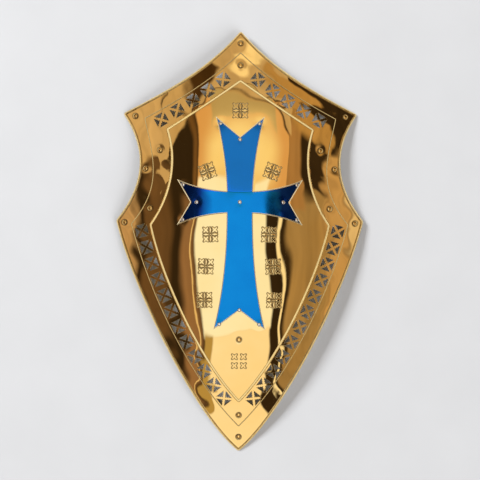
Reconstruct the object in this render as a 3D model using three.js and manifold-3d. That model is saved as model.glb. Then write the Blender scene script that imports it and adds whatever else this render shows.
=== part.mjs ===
// Heater shield of formed and riveted sheet, lying on its back with its face up.
// Millimetres. +Z points out of the face, +Y towards the top edge, and X runs across.
// The origin is on the surface that the shield lies on, under the middle of its outline.

import * as THREE from 'three';
import { mergeVertices } from 'three/addons/utils/BufferGeometryUtils.js';
import Module from 'manifold-3d';

const wasm = await Module();
wasm.setup();

// ---------------------------------------------------------------- driving dimensions

// The three nested outlines, given by their corners on the right-hand side: the apex at the
// top, the shoulder, the hip and the tip. Each edge between two corners is a cubic curve. It
// leaves and arrives at an angle to its chord, with handles that are a share of the chord.
const OUTER = {
  top: 331.5,
  shoulder: [185.5, 202],
  hip: [195, 33],
  tip: -331.5,
  edges: [
    { leave: { share: 0.36, angle: -16 }, arrive: { share: 0.34, angle: 9.5 } },
    { leave: { share: 0.415, angle: -38.5 }, arrive: { share: 0.435, angle: 36 } },
    { leave: { share: 0.275, angle: 14 }, arrive: { share: 0.205, angle: -22.5 } },
  ],
  rounding: { top: 5, shoulder: 5, hip: 3, tip: 4.5 },
};
const BORDER = {
  top: 296.5,
  shoulder: [150.5, 193.5],
  hip: [170.5, 27.5],
  tip: -291,
  edges: [
    { leave: { share: 0.35, angle: -10 }, arrive: { share: 0.34, angle: 8 } },
    { leave: { share: 0.38, angle: -19 }, arrive: { share: 0.475, angle: 34 } },
    { leave: { share: 0.3, angle: 13 }, arrive: { share: 0.315, angle: -16.5 } },
  ],
  rounding: { top: 2, shoulder: 2, hip: 2, tip: 2 },
};
const PANEL = {
  top: 252.5,
  shoulder: [115.5, 175.5],
  hip: [141, 26.5],
  tip: -251.5,
  edges: [
    { leave: { share: 0.33, angle: -2 }, arrive: { share: 0.33, angle: 2 } },
    { leave: { share: 0.355, angle: -28.5 }, arrive: { share: 0.355, angle: 26.5 } },
    { leave: { share: 0.26, angle: 15 }, arrive: { share: 0.285, angle: -17 } },
  ],
  rounding: { top: 3, shoulder: 3, hip: 3, tip: 3 },
};

// The dome that every sheet is formed to
const DOME_RADIUS_ACROSS = 517;
const DOME_RADIUS_ALONG = 1512;
const FOOT_TRIM = 1.5;

// Sheets, and the clearance between neighbours
const SHEET = 1.2;
const CLEARANCE = 0.3;
const HEAD_CLEARANCE = 0.45;
const RIM_WIDTH = 4.2;
const RIM_RISE = 1.6;
const PANEL_RISE = 3.2;

// Pierced crosses: a square cut into four triangles by two crossing bars
const PIERCED_SIDE = 19.4;
const PIERCED_BAR = 2.8;
const TOP_ROW_COUNT = 5;
const FLANK_ROW_COUNT = 12;
const ROW_GAP_AT_APEX = 35;
const ROW_GAP_AT_CORNER = 11;
const WINDOW_MARGIN = 1;

// The cross: each arm flares from its root to two points with a notch between them
const CROSS_CENTRE_Y = 61;
const CROSS_HALF_WIDTH = 20.5;
const CROSS_HALF_BAR = 17.3;
const CROSS_ARMS = {
  top: { length: 133.5, tipHalf: 38, notch: 32, handle: [2, 74] },
  side: { length: 97.5, tipHalf: 35.5, notch: 21, handle: [2.2, 62] },
  bottom: { length: 198, tipHalf: 40.5, notch: 31, handle: [0, 121] },
};

// Rivets: a low domed head in front, a shank through the sheets and a flat tail behind
const GOLD_HEAD = { radius: 4.1, height: 2.4 };
const SILVER_HEAD = { radius: 3, height: 1.8 };
const SHANK_RADIUS = 1.5;
const HOLE_RADIUS = SHANK_RADIUS + CLEARANCE;
const DRILL_LENGTH = 40;
const TAIL = { radius: 2.6, height: 0.9 };
const RIVET_SIDES = 6;
const RIM_RIVET_SHARE = 0.6;
const WAIST_RIVET_SHARE = 0.48;
const BORDER_RIVET_STATIONS = [0.26, 0.82];
const PANEL_RIVET_Y = -151;
const CROSS_RIVET_PLACES = {
  top: { behindNotch: 5, behindPoint: 12.2, inboard: 8.2 },
  side: { behindNotch: 10.7, behindPoint: 10.5, inboard: 8.5 },
  bottom: { behindNotch: 1, behindPoint: 10, inboard: 9.8 },
};

// The grip: a strip bowed away from the sheet between two rivets
const GRIP_WIDTH = 24;
const GRIP_THICKNESS = 2.5;
const GRIP_PAD = 13;
const GRIP_RAMP = 40;
const GRIP_MIDDLE_HEIGHT = 6.5;
const GRIP_PAD_GAP = 0.7;

// How finely the curved shapes are faceted
const EDGE_STEPS = [5, 8, 10];
const GRID = { halfWidth: 200, halfLength: 340, columns: 8, rows: 8 };

// ---------------------------------------------------------------- solids

function toSolid(geometry) {
  const plain = geometry.clone();
  plain.deleteAttribute('normal');
  plain.deleteAttribute('uv');
  const merged = mergeVertices(plain, 1e-4);
  const vertProperties = new Float32Array(merged.attributes.position.array);
  const triVerts = new Uint32Array(merged.index.array);
  return new wasm.Manifold(new wasm.Mesh({ numProp: 3, vertProperties, triVerts }));
}

function toGeometry(solid) {
  const mesh = solid.getMesh();
  const geometry = new THREE.BufferGeometry();
  geometry.setAttribute('position', new THREE.BufferAttribute(mesh.vertProperties, 3));
  geometry.setIndex(new THREE.BufferAttribute(mesh.triVerts, 1));
  geometry.computeVertexNormals();
  return geometry;
}

// ---------------------------------------------------------------- outlines

const mirrored = (point) => new THREE.Vector2(-point.x, point.y);

function chordCurve(from, to, { leave, arrive }) {
  const chord = to.clone().sub(from);
  const swing = (handle) => chord.clone()
    .rotateAround(new THREE.Vector2(), THREE.MathUtils.degToRad(handle.angle))
    .multiplyScalar(handle.share);
  return new THREE.CubicBezierCurve(from, from.clone().add(swing(leave)), to.clone().sub(swing(arrive)), to);
}

function rightCorners(contour) {
  return [
    new THREE.Vector2(0, contour.top),
    new THREE.Vector2(...contour.shoulder),
    new THREE.Vector2(...contour.hip),
    new THREE.Vector2(0, contour.tip),
  ];
}

function rightEdges(contour) {
  const corners = rightCorners(contour);
  return contour.edges.map((edge, i) => chordCurve(corners[i], corners[i + 1], edge));
}

function mirroredEdge(edge) {
  return new THREE.CubicBezierCurve(mirrored(edge.v3), mirrored(edge.v2), mirrored(edge.v1), mirrored(edge.v0));
}

// The whole outline, clockwise from the top, with each corner rounded over a short length
function outline(contour, rounding = contour.rounding) {
  const { top, shoulder, hip, tip } = rounding;
  const right = rightEdges(contour);
  const edges = [...right, ...right.map(mirroredEdge).reverse()];
  const steps = [...EDGE_STEPS, ...EDGE_STEPS.toReversed()];
  const cuts = [top, shoulder, hip, tip, hip, shoulder, top];
  const runs = edges.map((edge, i) => {
    const length = edge.getLength();
    const start = cuts[i] / length;
    const end = 1 - cuts[i + 1] / length;
    return Array.from({ length: steps[i] + 1 }, (_, k) => edge.getPointAt(start + (end - start) * k / steps[i]));
  });
  const loop = runs.flatMap((run, i) => {
    const next = runs[(i + 1) % runs.length];
    const corner = new THREE.QuadraticBezierCurve(run.at(-1), edges[i].v3, next[0]);
    return [...run, corner.getPoint(1 / 3), corner.getPoint(2 / 3)];
  });
  return distinct(loop);
}

const SHARP = { top: 0, shoulder: 0, hip: 0, tip: 0 };

function distinct(loop) {
  return loop.filter((point, i) => point.distanceTo(loop.at(i - 1)) > 0.01);
}

function inset(points, distance) {
  const inward = (a, b) => new THREE.Vector2(b.y - a.y, a.x - b.x).normalize();
  return points.map((point, i) => {
    const before = inward(points.at(i - 1), point);
    const after = inward(point, points[(i + 1) % points.length]);
    const bisector = before.clone().add(after).normalize();
    return point.clone().addScaledVector(bisector, distance / bisector.dot(before));
  });
}

// ---------------------------------------------------------------- the dome

// The crown's place makes the two shoulders and the tip lie equally low
const [SHOULDER_X, SHOULDER_Y] = OUTER.shoulder;
const CROWN_Y = (SHOULDER_X ** 2 * DOME_RADIUS_ALONG / DOME_RADIUS_ACROSS + SHOULDER_Y ** 2 - OUTER.tip ** 2)
  / (2 * (SHOULDER_Y - OUTER.tip));

function domeDrop(x, y) {
  return x ** 2 / (2 * DOME_RADIUS_ACROSS) + (y - CROWN_Y) ** 2 / (2 * DOME_RADIUS_ALONG);
}

const CROWN_HEIGHT = domeDrop(SHOULDER_X, SHOULDER_Y) - FOOT_TRIM;

function domeNormal(x, y) {
  return new THREE.Vector3(x / DOME_RADIUS_ACROSS, (y - CROWN_Y) / DOME_RADIUS_ALONG, 1).normalize();
}

// Height above the floor of a surface that lies a given lift outside the dome's underside
function liftedHeight(x, y, lift) {
  return CROWN_HEIGHT - domeDrop(x, y) + lift / domeNormal(x, y).z;
}

const gridX = (column) => GRID.halfWidth * (2 * column / GRID.columns - 1);
const gridY = (row) => GRID.halfLength * (2 * row / GRID.rows - 1);

// The same surface as its flat facets give it
function facetHeight(x, y, lift) {
  const across = (x / GRID.halfWidth + 1) * GRID.columns / 2;
  const along = (y / GRID.halfLength + 1) * GRID.rows / 2;
  const column = Math.floor(across);
  const row = Math.floor(along);
  const u = across - column;
  const v = along - row;
  const at = (i, j) => liftedHeight(gridX(column + i), gridY(row + j), lift);
  return u > v
    ? at(0, 0) + u * (at(1, 0) - at(0, 0)) + v * (at(1, 1) - at(1, 0))
    : at(0, 0) + v * (at(0, 1) - at(0, 0)) + u * (at(1, 1) - at(0, 1));
}

// A closed slab of dome, from one lift to another, wider than the shield
function domeSlab(lowLift, highLift) {
  const positions = [];
  const indices = [];
  const perRow = GRID.columns + 1;
  const perLayer = perRow * (GRID.rows + 1);
  for (const lift of [lowLift, highLift]) {
    for (let row = 0; row <= GRID.rows; row += 1) {
      for (let column = 0; column <= GRID.columns; column += 1) {
        const x = gridX(column);
        const y = gridY(row);
        positions.push(x, y, liftedHeight(x, y, lift));
      }
    }
  }
  for (let row = 0; row < GRID.rows; row += 1) {
    for (let column = 0; column < GRID.columns; column += 1) {
      const a = row * perRow + column;
      const [b, c, d] = [a + 1, a + perRow + 1, a + perRow];
      indices.push(a, c, b, a, d, c);
      indices.push(...[a, b, c, a, c, d].map((index) => index + perLayer));
    }
  }
  const wall = (from, to) => indices.push(from, to, to + perLayer, from, to + perLayer, from + perLayer);
  for (let column = 0; column < GRID.columns; column += 1) {
    const far = GRID.rows * perRow + column;
    wall(column, column + 1);
    wall(far + 1, far);
  }
  for (let row = 0; row < GRID.rows; row += 1) {
    const left = row * perRow;
    const right = left + GRID.columns;
    wall(left + perRow, left);
    wall(right, right + perRow);
  }
  const geometry = new THREE.BufferGeometry();
  geometry.setAttribute('position', new THREE.Float32BufferAttribute(positions, 3));
  geometry.setIndex(indices);
  return toSolid(geometry);
}

const PLAN_BOTTOM = -30;
const PLAN_HEIGHT = 110;

function planSolid(shape) {
  const geometry = new THREE.ExtrudeGeometry(shape, { depth: PLAN_HEIGHT, bevelEnabled: false, steps: 1 });
  return toSolid(geometry.translate(0, 0, PLAN_BOTTOM));
}

// A piece of sheet with a given plan, formed to the dome between two lifts
function formedSheet(points, holes, lowLift, highLift) {
  const shape = new THREE.Shape(THREE.ShapeUtils.isClockWise(points) ? points.toReversed() : points);
  shape.holes = holes.map((hole) => new THREE.Path(hole));
  return domeSlab(lowLift, highLift).intersect(planSolid(shape));
}

// ---------------------------------------------------------------- lifts of the layers

const BACK_TOP = SHEET;
const COVER_BOTTOM = BACK_TOP + CLEARANCE;
const BORDER_TOP = COVER_BOTTOM + SHEET;
const PANEL_TOP = COVER_BOTTOM + PANEL_RISE;
const CROSS_BOTTOM = PANEL_TOP + CLEARANCE;
const CROSS_TOP = CROSS_BOTTOM + SHEET;

// ---------------------------------------------------------------- pierced rows

// The line half way between the border's two edges, along one of its straight runs
function middleLine(edgeNumber) {
  const outer = rightEdges(BORDER)[edgeNumber];
  const inner = rightEdges(PANEL)[edgeNumber];
  const points = Array.from({ length: 25 }, (_, i) => outer.getPoint(i / 24).lerp(inner.getPoint(i / 24), 0.5));
  return new THREE.SplineCurve(points);
}

function rowOfCrosses(edgeNumber, count, startGap, endGap) {
  const line = middleLine(edgeNumber);
  const length = line.getLength();
  const pitch = (length - startGap - endGap) / (count - 1);
  return { line, length, startGap, endGap, centres: Array.from({ length: count }, (_, i) => startGap + i * pitch) };
}

const ROWS = [
  rowOfCrosses(0, TOP_ROW_COUNT, ROW_GAP_AT_APEX, ROW_GAP_AT_CORNER),
  rowOfCrosses(2, FLANK_ROW_COUNT, ROW_GAP_AT_CORNER, ROW_GAP_AT_APEX),
];

// Four triangles, each with its base on one side of the square and its point at the middle
function piercedCross(row, distance) {
  const centre = row.line.getPointAt(distance / row.length);
  const heading = row.line.getTangentAt(distance / row.length).angle();
  const half = PIERCED_SIDE / 2;
  const shoulder = PIERCED_BAR / Math.SQRT2;
  return [0, 1, 2, 3].map((quarter) => [[shoulder, 0], [half, half - shoulder], [half, shoulder - half]]
    .map(([x, y]) => new THREE.Vector2(x, y)
      .rotateAround(new THREE.Vector2(), heading + quarter * Math.PI / 2)
      .add(centre)));
}

// The long window in the back plate behind one row
function rowWindow(row) {
  const half = PIERCED_SIDE / 2 + WINDOW_MARGIN;
  const start = (row.startGap - half) / row.length;
  const end = 1 - (row.endGap - half) / row.length;
  const steps = 5;
  const side = (sign) => Array.from({ length: steps + 1 }, (_, i) => {
    const u = start + (end - start) * i / steps;
    const tangent = row.line.getTangentAt(u);
    return row.line.getPointAt(u).add(new THREE.Vector2(-tangent.y, tangent.x).multiplyScalar(sign * half));
  });
  return [...side(1), ...side(-1).reverse()];
}

const bothSides = (loops) => [...loops, ...loops.map((loop) => loop.map(mirrored))];

// ---------------------------------------------------------------- rivets

const gold = { color: 0xd6a03c, roughness: 0.12, metalness: 1 };
const silver = { color: 0xc9ccd0, roughness: 0.15, metalness: 1 };
const blue = { color: 0x0f62ad, roughness: 0.15, metalness: 0.6 };

function rivetGeometry(head, headLift, tailLift) {
  const profile = [
    [0, tailLift - TAIL.height],
    [TAIL.radius, tailLift],
    [SHANK_RADIUS, tailLift],
    [SHANK_RADIUS, headLift],
    [head.radius, headLift],
    [head.radius * 0.66, headLift + head.height * 0.75],
    [0, headLift + head.height],
  ].map(([radius, height]) => new THREE.Vector2(radius, height));
  return new THREE.LatheGeometry(profile, RIVET_SIDES).rotateX(Math.PI / 2);
}

// Where the dome's underside is at a rivet, and the turn that stands the rivet square to it
function domeStation({ x, y }) {
  const up = new THREE.Vector3(0, 0, 1);
  return {
    position: new THREE.Vector3(x, y, facetHeight(x, y, 0)),
    quaternion: new THREE.Quaternion().setFromUnitVectors(up, domeNormal(x, y)),
  };
}

function rivetHole(rivet) {
  const { position, quaternion } = domeStation(rivet.place);
  const drill = new THREE.CylinderGeometry(HOLE_RADIUS, HOLE_RADIUS, DRILL_LENGTH, RIVET_SIDES)
    .rotateX(Math.PI / 2)
    .applyQuaternion(quaternion)
    .translate(position.x, position.y, position.z);
  return toSolid(drill);
}

function drilled(solid, rivets) {
  return rivets.reduce((piece, rivet) => piece.subtract(rivetHole(rivet)), solid);
}

const between = (a, b, share) => a.clone().lerp(b, share);
const pair = (point) => [point, mirrored(point)];
const rivetAt = (name, place, head, headLift, material) => ({ name, place, head, headLift, material, tailLift: 0 });

function rimRivets() {
  const [outerTop, outerShoulder, outerHip, outerTip] = rightCorners(OUTER);
  const [borderTop, borderShoulder, borderHip, borderTip] = rightCorners(BORDER);
  const outerWaist = rightEdges(OUTER)[1].getPoint(0.5);
  const borderWaist = rightEdges(BORDER)[1].getPoint(0.5);
  const places = [
    between(outerTop, borderTop, RIM_RIVET_SHARE),
    ...pair(between(outerShoulder, borderShoulder, RIM_RIVET_SHARE)),
    ...pair(between(outerWaist, borderWaist, WAIST_RIVET_SHARE)),
    ...pair(between(outerHip, borderHip, RIM_RIVET_SHARE)),
    between(outerTip, borderTip, RIM_RIVET_SHARE),
  ];
  return places.map((place, i) => rivetAt(`rim_rivet_${i + 1}`, place, GOLD_HEAD, BACK_TOP, gold));
}

function borderRivets() {
  const waist = middleLine(1);
  const places = [
    middleLine(0).getPoint(0),
    ...BORDER_RIVET_STATIONS.flatMap((share) => pair(waist.getPointAt(share))),
    middleLine(2).getPoint(1),
  ];
  return places.map((place, i) => rivetAt(`border_rivet_${i + 1}`, place, GOLD_HEAD, BORDER_TOP, gold));
}

// Three rivets at the end of each arm, behind its notch and in its two points, and one in the middle
function crossRivets() {
  const places = [new THREE.Vector2(0, 0)];
  for (const [arm, turn] of [['top', 90], ['side', 180], ['bottom', 270], ['side', 0]]) {
    const { length, notch, tipHalf } = CROSS_ARMS[arm];
    const { behindNotch, behindPoint, inboard } = CROSS_RIVET_PLACES[arm];
    const notchReach = length - notch - behindNotch;
    const tipReach = length - behindPoint;
    const tipSide = tipHalf - inboard;
    for (const [x, y] of [[notchReach, 0], [tipReach, tipSide], [tipReach, -tipSide]]) {
      places.push(new THREE.Vector2(x, y).rotateAround(places[0], THREE.MathUtils.degToRad(turn)));
    }
  }
  return places.map((place, i) => {
    const onShield = new THREE.Vector2(place.x, place.y + CROSS_CENTRE_Y);
    return rivetAt(`cross_rivet_${i + 1}`, onShield, SILVER_HEAD, CROSS_TOP, silver);
  });
}

const RIM_RIVETS = rimRivets();
const BORDER_RIVETS = borderRivets();
const CROSS_RIVETS = crossRivets();
for (const rivet of CROSS_RIVETS) rivet.tailLift = PANEL_TOP - SHEET;
const PANEL_RIVET = rivetAt('panel_rivet', new THREE.Vector2(0, PANEL_RIVET_Y), GOLD_HEAD, PANEL_TOP, gold);
const GRIP_RIVETS = [CROSS_RIVETS[0], PANEL_RIVET];
for (const rivet of GRIP_RIVETS) rivet.tailLift = -GRIP_PAD_GAP - GRIP_THICKNESS;

function rivetMesh(rivet) {
  const geometry = rivetGeometry(rivet.head, rivet.headLift + HEAD_CLEARANCE, rivet.tailLift - HEAD_CLEARANCE);
  const mesh = new THREE.Mesh(geometry, new THREE.MeshStandardMaterial(rivet.material));
  const { position, quaternion } = domeStation(rivet.place);
  mesh.name = rivet.name;
  mesh.position.copy(position);
  mesh.quaternion.copy(quaternion);
  return mesh;
}

// ---------------------------------------------------------------- sheets

function backPlate() {
  const edge = outline(OUTER);
  const plate = formedSheet(edge, bothSides(ROWS.map(rowWindow)), 0, BACK_TOP);
  const rimInside = inset(outline(OUTER, SHARP), RIM_WIDTH);
  const rim = formedSheet(edge, [rimInside], 0, BACK_TOP + RIM_RISE);
  const floor = new THREE.BoxGeometry(3 * GRID.halfWidth, 3 * GRID.halfLength, 2 * FOOT_TRIM + 2)
    .translate(0, 0, -FOOT_TRIM - 1);
  const footed = plate.add(rim).subtract(toSolid(floor));
  return drilled(footed, [...RIM_RIVETS, ...BORDER_RIVETS, ...GRIP_RIVETS]);
}

function piercedBorder() {
  const triangles = ROWS.flatMap((row) => row.centres.flatMap((distance) => piercedCross(row, distance)));
  const holes = [inset(outline(PANEL), -CLEARANCE), ...bothSides(triangles)];
  return drilled(formedSheet(outline(BORDER), holes, COVER_BOTTOM, BORDER_TOP), BORDER_RIVETS);
}

function centrePanel() {
  const edge = outline(PANEL);
  const face = formedSheet(edge, [], PANEL_TOP - SHEET, PANEL_TOP);
  const skirt = formedSheet(edge, [inset(outline(PANEL, SHARP), SHEET)], COVER_BOTTOM, PANEL_TOP);
  return drilled(face.add(skirt), [...CROSS_RIVETS, PANEL_RIVET]);
}

// One arm's outline in its own frame, running along +X: out one flared edge, round the
// two points and the notch, and back down the other edge
function armPoints({ length, tipHalf, notch, handle }, rootAlong, rootHalf) {
  const [rise, reach] = handle;
  const flare = new THREE.QuadraticBezierCurve(
    new THREE.Vector2(rootAlong, rootHalf),
    new THREE.Vector2(reach, rootHalf + rise),
    new THREE.Vector2(length, tipHalf),
  );
  const upper = flare.getPoints(5);
  const lower = upper.map(({ x, y }) => new THREE.Vector2(x, -y)).reverse();
  return [...lower.toReversed(), new THREE.Vector2(length - notch, 0), ...upper.toReversed()];
}

function crossOutline() {
  const { top, side, bottom } = CROSS_ARMS;
  const arms = [
    [side, 0, CROSS_HALF_WIDTH, CROSS_HALF_BAR],
    [top, 90, CROSS_HALF_BAR, CROSS_HALF_WIDTH],
    [side, 180, CROSS_HALF_WIDTH, CROSS_HALF_BAR],
    [bottom, 270, CROSS_HALF_BAR, CROSS_HALF_WIDTH],
  ];
  const centre = new THREE.Vector2();
  const loop = arms.flatMap(([arm, turn, rootAlong, rootHalf]) => armPoints(arm, rootAlong, rootHalf)
    .map((point) => point.rotateAround(centre, THREE.MathUtils.degToRad(turn))));
  return distinct(loop).map((point) => point.add(new THREE.Vector2(0, CROSS_CENTRE_Y)));
}

function cross() {
  return drilled(formedSheet(crossOutline(), [], CROSS_BOTTOM, CROSS_TOP), CROSS_RIVETS);
}

// Side view of the grip's upper face: a pad, a ramp down, the middle, a ramp up and a pad
function gripHeight(y) {
  const upperRamp = CROSS_CENTRE_Y - GRIP_PAD - y;
  const lowerRamp = y - (PANEL_RIVET_Y + GRIP_PAD);
  const share = THREE.MathUtils.clamp(Math.min(upperRamp, lowerRamp) / GRIP_RAMP, 0, 1);
  const eased = THREE.MathUtils.smoothstep(share, 0, 1);
  const pad = facetHeight(0, y, 0) - GRIP_PAD_GAP;
  return THREE.MathUtils.lerp(pad, GRIP_MIDDLE_HEIGHT + GRIP_THICKNESS, eased);
}

function grip() {
  const topY = CROSS_CENTRE_Y + GRIP_PAD;
  const bottomY = PANEL_RIVET_Y - GRIP_PAD;
  const rampSteps = Array.from({ length: 7 }, (_, i) => i / 6 * GRIP_RAMP);
  const stations = [
    topY,
    ...rampSteps.map((step) => CROSS_CENTRE_Y - GRIP_PAD - step),
    ...rampSteps.map((step) => PANEL_RIVET_Y + GRIP_PAD + step).reverse(),
    bottomY,
  ];
  const upper = stations.map((y) => new THREE.Vector2(gripHeight(y), y));
  const lower = stations.map((y, i) => {
    const before = upper[Math.max(i - 1, 0)];
    const after = upper[Math.min(i + 1, upper.length - 1)];
    const run = after.clone().sub(before).normalize();
    return upper[i].clone().add(new THREE.Vector2(run.y, -run.x).multiplyScalar(GRIP_THICKNESS));
  });
  const section = new THREE.Shape([...upper, ...lower.reverse()]);
  const strip = new THREE.ExtrudeGeometry(section, { depth: GRIP_WIDTH, bevelEnabled: false, steps: 1 })
    .translate(0, 0, -GRIP_WIDTH / 2)
    .rotateY(-Math.PI / 2);
  const half = GRIP_WIDTH / 2;
  const plan = new THREE.Shape();
  plan.absarc(0, topY - half, half, 0, Math.PI, false);
  plan.absarc(0, bottomY + half, half, Math.PI, 2 * Math.PI, false);
  const ends = new THREE.Shape(plan.getPoints(6));
  return drilled(toSolid(strip).intersect(planSolid(ends)), GRIP_RIVETS);
}

// ---------------------------------------------------------------- the shield

function pieceMesh(name, solid, material) {
  const mesh = new THREE.Mesh(toGeometry(solid), new THREE.MeshStandardMaterial(material));
  mesh.name = name;
  return mesh;
}

const shield = new THREE.Group();
shield.add(
  pieceMesh('back_plate', backPlate(), gold),
  pieceMesh('pierced_border', piercedBorder(), gold),
  pieceMesh('centre_panel', centrePanel(), gold),
  pieceMesh('cross', cross(), blue),
  pieceMesh('grip', grip(), gold),
  ...[...RIM_RIVETS, ...BORDER_RIVETS, PANEL_RIVET, ...CROSS_RIVETS].map(rivetMesh),
);

export default shield;
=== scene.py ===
import math

import bpy
import numpy as np
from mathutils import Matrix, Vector, kdtree
from mathutils.geometry import delaunay_2d_cdt


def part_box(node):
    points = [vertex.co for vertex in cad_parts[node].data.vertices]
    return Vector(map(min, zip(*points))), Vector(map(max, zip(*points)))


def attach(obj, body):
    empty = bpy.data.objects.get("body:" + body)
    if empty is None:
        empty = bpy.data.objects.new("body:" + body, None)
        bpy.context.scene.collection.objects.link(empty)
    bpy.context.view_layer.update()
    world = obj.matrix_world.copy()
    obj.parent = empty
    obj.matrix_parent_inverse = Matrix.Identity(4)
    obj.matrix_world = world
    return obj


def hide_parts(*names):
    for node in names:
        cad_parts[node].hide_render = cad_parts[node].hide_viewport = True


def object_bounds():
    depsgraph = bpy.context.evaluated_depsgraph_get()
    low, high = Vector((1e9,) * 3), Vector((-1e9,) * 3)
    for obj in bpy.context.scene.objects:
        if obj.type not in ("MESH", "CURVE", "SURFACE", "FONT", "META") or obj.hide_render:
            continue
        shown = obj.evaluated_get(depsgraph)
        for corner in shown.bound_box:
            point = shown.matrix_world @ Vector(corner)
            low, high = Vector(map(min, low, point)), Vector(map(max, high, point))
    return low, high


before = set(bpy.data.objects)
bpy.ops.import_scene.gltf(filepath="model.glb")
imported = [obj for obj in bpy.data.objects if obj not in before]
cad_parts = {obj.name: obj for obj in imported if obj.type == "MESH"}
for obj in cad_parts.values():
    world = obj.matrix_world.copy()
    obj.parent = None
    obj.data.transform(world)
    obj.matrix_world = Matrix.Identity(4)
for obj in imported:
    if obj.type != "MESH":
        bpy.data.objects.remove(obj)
cad_box = [list(corner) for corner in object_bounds()]

# ------------------------------------------------------------------ camera and floor
# The camera hangs straight above the shield. The floor is a sheet of pale matt card that
# runs out of sight, slightly uneven in tone as card is.

CAMERA_PLACE = (0.0006, 0.0028, 1.792)
CAMERA_TURN = math.radians(0.33)
FLOOR_HALF = 9.0
FLOOR_DROP = 0.0004


def hex_colour(code):
    """An sRGB hex colour as linear red, green, blue and alpha."""
    parts = [int(code[i:i + 2], 16) / 255 for i in (1, 3, 5)]
    linear = [p / 12.92 if p <= 0.04045 else ((p + 0.055) / 1.055) ** 2.4 for p in parts]
    return (*linear, 1.0)


def feed(tree, node, links):
    """Gives a node's inputs their links or values."""
    for socket, value in links.items():
        if isinstance(value, bpy.types.NodeSocket):
            tree.links.new(value, node.inputs[socket])
        else:
            node.inputs[socket].default_value = value


def add(tree, kind, links=None, **settings):
    """Adds a node with its settings, and links or values for its inputs."""
    made = tree.nodes.new(kind)
    for name, value in settings.items():
        setattr(made, name, value)
    feed(tree, made, links or {})
    return made


def new_material(name):
    """A material with an empty tree, its output and its shader."""
    material = bpy.data.materials.new(name)
    material.use_nodes = True
    material.node_tree.nodes.clear()
    shader = add(material.node_tree, "ShaderNodeBsdfPrincipled")
    add(material.node_tree, "ShaderNodeOutputMaterial", {"Surface": shader.outputs[0]})
    return material, material.node_tree, shader


def noise(tree, coordinates, size_mm, detail=2.0, roughness=0.5):
    """Noise whose features are about the given size."""
    return add(tree, "ShaderNodeTexNoise", {
        "Vector": coordinates, "Scale": 1000 / size_mm, "Detail": detail, "Roughness": roughness,
    }).outputs["Fac"]


def spread(tree, factor, low, high, start=0.3, end=0.7):
    """Maps the middle of a noise's range onto low to high."""
    return add(tree, "ShaderNodeMapRange", {
        "Value": factor, "From Min": start, "From Max": end, "To Min": low, "To Max": high,
    }).outputs["Result"]


camera_data = bpy.data.cameras.new("camera")
camera_data.lens = 85
camera_data.sensor_width = 36
camera = bpy.data.objects.new("camera", camera_data)
camera.location = CAMERA_PLACE
camera.rotation_euler = (0, 0, CAMERA_TURN)
bpy.context.scene.collection.objects.link(camera)
bpy.context.scene.camera = camera

# Matt card: even, with no gloss and the faintest mottling
card, tree, shader = new_material("matt pale card")
where = add(tree, "ShaderNodeTexCoord").outputs["Object"]
mottle = noise(tree, where, 90, detail=4)
tone = add(tree, "ShaderNodeMixRGB", {
    "Fac": mottle, "Color1": hex_colour("#9c9d9e"), "Color2": hex_colour("#a2a3a4"),
})
feed(tree, shader, {"Base Color": tone.outputs[0], "Roughness": 0.9})

floor_mesh = bpy.data.meshes.new("floor")
floor_corners = [(x * FLOOR_HALF, y * FLOOR_HALF, 0) for x, y in ((-1, -1), (1, -1), (1, 1), (-1, 1))]
floor_mesh.from_pydata(floor_corners, [], [(0, 1, 2, 3)])
floor = bpy.data.objects.new("floor", floor_mesh)
floor.location.z = -FLOOR_DROP
floor_mesh.materials.append(card)
bpy.context.scene.collection.objects.link(floor)

# ------------------------------------------------------------------ studio light
# A bright sheet shows the room it stands in: broad white softboxes overhead, warm walls to
# the sides and dark gaps between. They are laid out by slope, which is how far sideways a
# ray goes for each unit that it climbs. Two soft lamps that only matt things show light the
# card and give the shadow.

ROOM_HORIZON = hex_colour("#f0f0ee")
ROOM_CEILING = hex_colour("#33271a")
# colour, strength, left, right, lower and upper edge by slope, softness, bow, turn in degrees
WALLS = [
    ("#937156", 1.00, -0.42, -0.31, -1.20, 0.10, 0.04, 0.0, 0),
    ("#7a5a38", 0.90, -0.345, -0.31, 0.08, 0.38, 0.015, 0.0, 0),
    ("#6a5038", 1.00, -0.76, -0.54, -1.20, 0.22, 0.05, 0.0, 0),
    ("#c4a486", 0.95, -1.25, -0.86, -1.20, 0.50, 0.05, 0.0, 0),
    ("#cdb08c", 1.00, -1.30, -0.60, 0.16, 0.52, 0.03, 0.0, -14),
    ("#a28762", 1.00, 0.33, 0.66, -1.20, 0.10, 0.02, 0.0, 0),
    ("#a68058", 1.00, 0.33, 0.47, 0.06, 0.36, 0.02, 0.0, 0),
    ("#c8a478", 0.95, 0.66, 0.92, -1.20, 0.26, 0.04, 0.0, 0),
    ("#dcc4a4", 1.00, 0.94, 1.25, -1.20, 0.26, 0.04, 0.0, 0),
    ("#c8ac88", 0.95, -0.60, 0.36, 0.409, 1.20, 0.006, 0.75, 0),
    ("#b8925e", 0.95, 0.18, 0.76, 0.33, 0.45, 0.020, 0.0, 18),
    ("#5a4024", 0.60, -0.40, -0.24, 0.36, 0.60, 0.03, 0.0, 34),
    ("#fbe4bc", 1.00, -0.03, 0.16, 0.50, 0.60, 0.03, 0.0, -20),
]
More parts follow.
